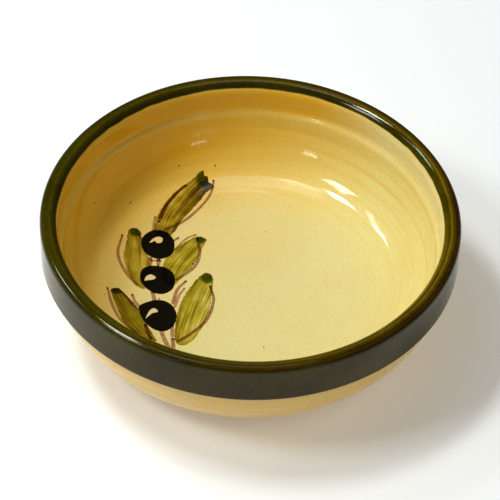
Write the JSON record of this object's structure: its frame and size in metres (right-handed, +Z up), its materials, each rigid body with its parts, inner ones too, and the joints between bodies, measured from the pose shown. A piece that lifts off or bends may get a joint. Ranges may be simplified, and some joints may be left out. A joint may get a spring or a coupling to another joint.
{
  "type": "painted earthenware bowl",
  "caption": "Wide shallow round serving bowl of glazed earthenware, cream inside and out with a dark green collar and lip, painted inside with a sprig of black olives and leaves.",
  "frame": {"origin": "centre of the foot ring, on the surface that the bowl stands on", "axes": "+Z up along the axis of turning, -Y towards the front, +X to the right; the painted sprig lies on the -X side of the inside"},
  "size_m": [0.2, 0.2, 0.0612],
  "materials": {
    "cream_glaze": "glossy honey-cream glaze with fine brown specks",
    "green_glaze": "glossy dark olive-green glaze, amber where it is thin",
    "olive_black": "glossy black painted slip",
    "leaf_green": "streaky translucent olive-green brushwork under glaze",
    "line_brown": "thin brown brush lines under glaze",
    "bare_clay": "matte unglazed clay on the foot ring"
  },
  "bodies": {
    "root": {"bowl": "cream_glaze"}
  },
  "joints": []
}
